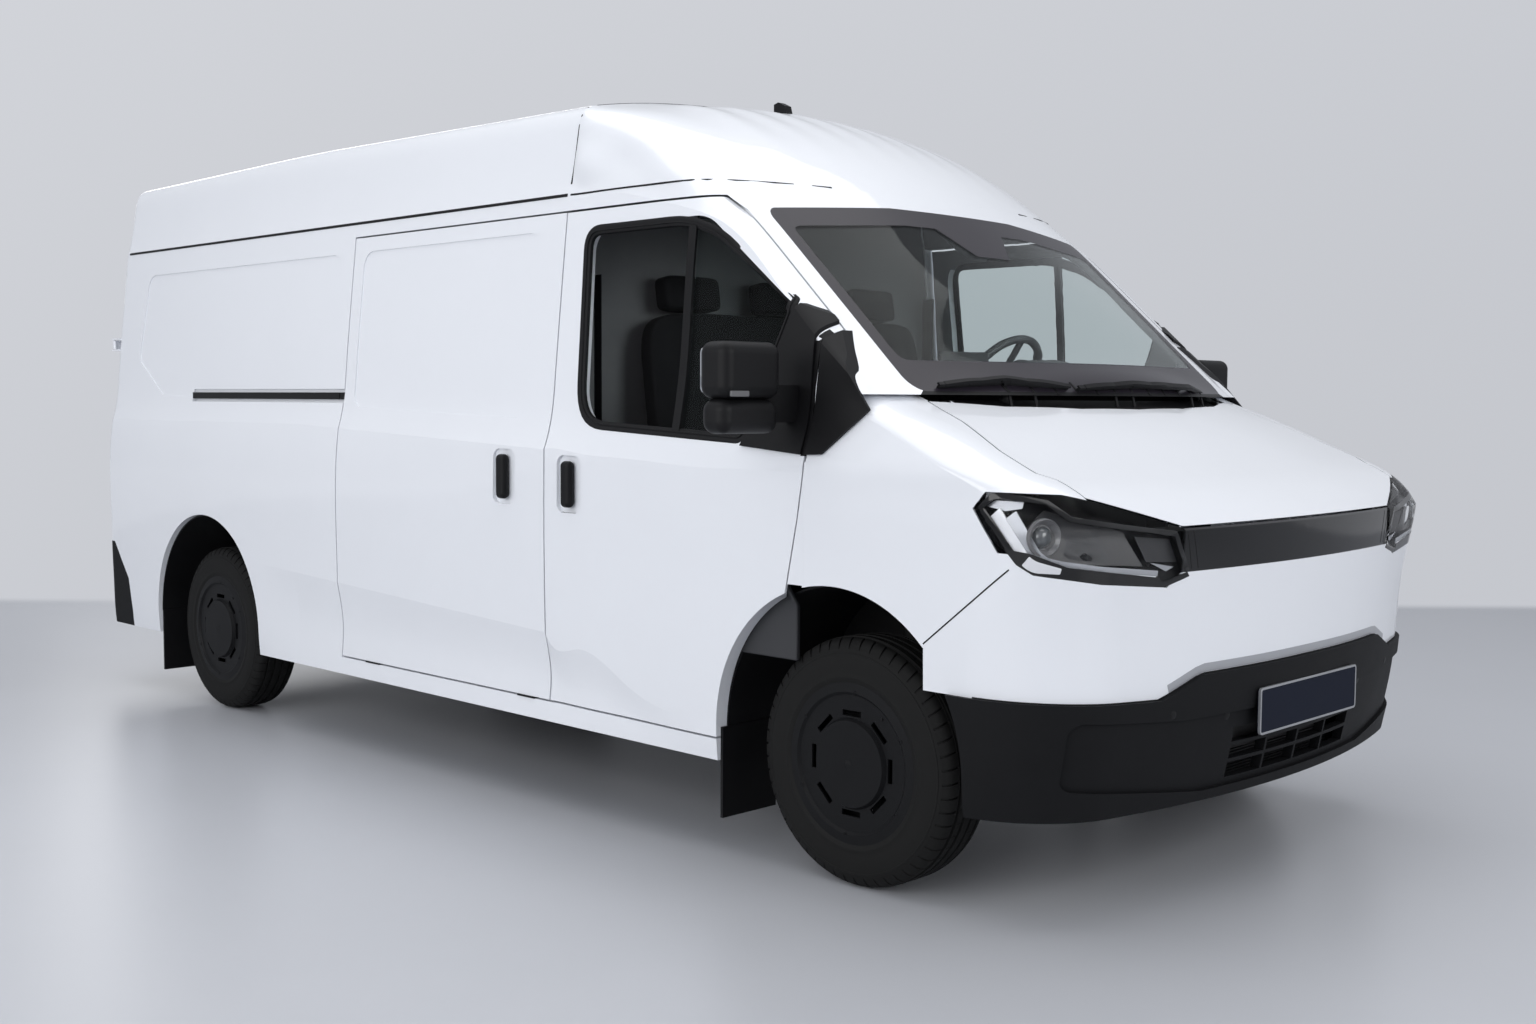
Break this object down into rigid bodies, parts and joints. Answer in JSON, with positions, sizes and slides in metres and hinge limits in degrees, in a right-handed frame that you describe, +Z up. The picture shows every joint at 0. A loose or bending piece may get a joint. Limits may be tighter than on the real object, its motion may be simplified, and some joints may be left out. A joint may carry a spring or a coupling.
{
  "type": "panel van",
  "caption": "High-roof panel van with hinged cab and rear doors, opening bonnet, steered front wheels, a sliding side door and a hollow load space.",
  "frame": {"origin": "on the ground below the middle of the van", "axes": "+X forward, +Y to the van's left, +Z up"},
  "size_m": [5.3981, 2.614, 2.3764],
  "materials": {
    "body_paint": "gloss white paint",
    "black_plastic": "matte black moulding",
    "textured_plastic": "fine grained dark grey moulding",
    "gloss_black": "gloss black",
    "tinted_glass": "light green grey tint",
    "lamp_lens": "clear lens over a smoked inner",
    "red_lens": "gloss red lens",
    "chassis_paint": "satin black chassis paint",
    "inner_panel": "satin grey paint",
    "cab_plastic": "grained dark grey moulding",
    "seat_cloth": "dark grey woven cloth",
    "bare_steel": "dark forged iron",
    "cast_alloy": "cast alloy housing",
    "tyre": "black rubber",
    "wheel_black": "matte black"
  },
  "bodies": {
    "body": {"rear_bumper": "textured_plastic", "roof_rear": "body_paint", "roof_front": "body_paint", "side_panel_right": "body_paint", "side_panel_left": "body_paint", "sliding_door": "body_paint", "windscreen": "tinted_glass", "cab_frame": "body_paint", "headlamps": "lamp_lens", "lamp_bar": "gloss_black", "front_fascia": "body_paint", "fenders": "body_paint", "front_bumper": "textured_plastic", "cowl": "black_plastic", "side_trim": "black_plastic", "tail_lamps": "red_lens", "floor": "chassis_paint", "bulkhead": "inner_panel", "dashboard": "cab_plastic", "driver_seat": "seat_cloth", "passenger_bench": "seat_cloth", "chassis_frame": "chassis_paint", "rear_axle": "bare_steel", "front_suspension": "chassis_paint", "drive_unit": "cast_alloy", "battery_pack": "chassis_paint", "arch_liners": "black_plastic", "antenna": "black_plastic"},
    "knuckle_left": {"knuckle_left": "bare_steel"},
    "knuckle_right": {"knuckle_right": "bare_steel"},
    "steering_wheel": {"steering_wheel": "cab_plastic"},
    "front_door_left": {"front_door_left": "body_paint", "door_glass_left": "tinted_glass", "door_fittings_left": "black_plastic"},
    "front_door_right": {"front_door_right": "body_paint", "door_glass_right": "tinted_glass", "door_fittings_right": "black_plastic"},
    "rear_door_left": {"rear_door_left": "body_paint"},
    "rear_door_right": {"rear_door_right": "body_paint"},
    "bonnet": {"bonnet": "body_paint"},
    "wheel_front_left": {"rim_front_left": "wheel_black", "tyre_front_left": "tyre"},
    "wheel_front_right": {"rim_front_right": "wheel_black", "tyre_front_right": "tyre"},
    "wheel_rear_left": {"rim_rear_left": "wheel_black", "tyre_rear_left": "tyre"},
    "wheel_rear_right": {"rim_rear_right": "wheel_black", "tyre_rear_right": "tyre"}
  },
  "joints": [
    {"name": "steer_left", "type": "hinge", "parent": "body", "child": "knuckle_left", "pos_m": [1.854, 0.8, 0.342], "axis": [0, 0, 1], "range_deg": [-35, 35]},
    {"name": "steer_right", "type": "hinge", "parent": "body", "child": "knuckle_right", "pos_m": [1.854, -0.8, 0.342], "axis": [0, 0, 1], "range_deg": [-35, 35]},
    {"name": "steering_wheel_turn", "type": "hinge", "parent": "body", "child": "steering_wheel", "pos_m": [1.294, 0.43, 1.37], "axis": [-0.848, 0, 0.5299], "range_deg": [-530, 530]},
    {"name": "wheel_front_left_spin", "type": "hinge", "parent": "knuckle_left", "child": "wheel_front_left", "pos_m": [1.854, 0.877, 0.342], "axis": [0, 1, 0], "continuous": true},
    {"name": "wheel_front_right_spin", "type": "hinge", "parent": "knuckle_right", "child": "wheel_front_right", "pos_m": [1.854, -0.877, 0.342], "axis": [0, 1, 0], "continuous": true},
    {"name": "wheel_rear_left_spin", "type": "hinge", "parent": "body", "child": "wheel_rear_left", "pos_m": [-1.716, 0.877, 0.342], "axis": [0, 1, 0], "continuous": true},
    {"name": "wheel_rear_right_spin", "type": "hinge", "parent": "body", "child": "wheel_rear_right", "pos_m": [-1.716, -0.877, 0.342], "axis": [0, 1, 0], "continuous": true},
    {"name": "front_door_left_swing", "type": "hinge", "parent": "body", "child": "front_door_left", "pos_m": [1.809, 1.01, 1], "axis": [0, 0, -1], "range_deg": [0, 68]},
    {"name": "front_door_right_swing", "type": "hinge", "parent": "body", "child": "front_door_right", "pos_m": [1.809, -1.01, 1], "axis": [0, 0, 1], "range_deg": [0, 68]},
    {"name": "rear_door_left_swing", "type": "hinge", "parent": "body", "child": "rear_door_left", "pos_m": [-2.70104, 0.9658, 1.2], "axis": [0, 0, -1], "range_deg": [0, 180]},
    {"name": "rear_door_right_swing", "type": "hinge", "parent": "body", "child": "rear_door_right", "pos_m": [-2.70104, -0.9658, 1.2], "axis": [0, 0, 1], "range_deg": [0, 180]},
    {"name": "bonnet_lift", "type": "hinge", "parent": "body", "child": "bonnet", "pos_m": [1.979, 0, 1.312], "axis": [0, -1, 0], "range_deg": [0, 55]}
  ],
  "couplings": [
    {"joint": "steer_right", "follows": "steer_left", "ratio": 1},
    {"joint": "steering_wheel_turn", "follows": "steer_left", "ratio": 15}
  ]
}
